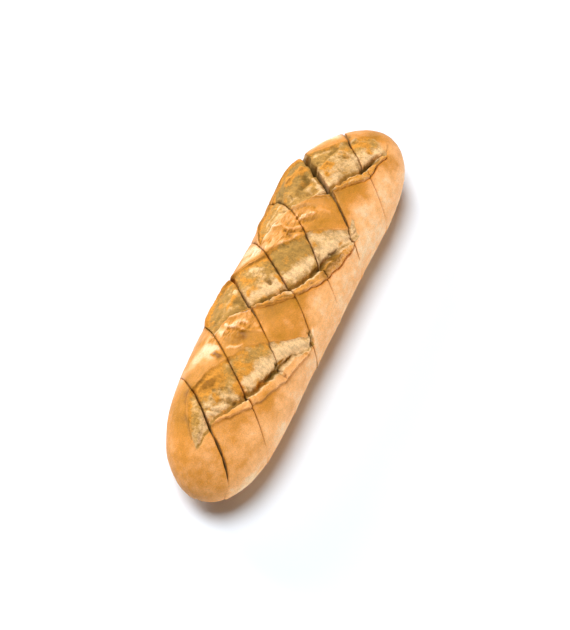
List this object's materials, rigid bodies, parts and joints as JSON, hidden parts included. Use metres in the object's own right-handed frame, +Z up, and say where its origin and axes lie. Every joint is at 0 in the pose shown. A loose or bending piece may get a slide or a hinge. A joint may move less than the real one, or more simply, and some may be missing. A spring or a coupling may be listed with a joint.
{
  "type": "garlic butter baguette",
  "caption": "Short plump baguette whose slashes burst open in the oven, cut across by deep knife slits for garlic butter; rests on its flat underside.",
  "frame": {"origin": "the centre of the loaf's bounding box at the level it rests on", "axes": "+X along the loaf, +Z up through its slashed top, +Y towards the side that the slashes start from at their -X ends"},
  "size_m": [0.27, 0.0712, 0.0503],
  "materials": {
    "crust": "satin"
  },
  "bodies": {
    "root": {"baguette": "crust"}
  },
  "joints": []
}
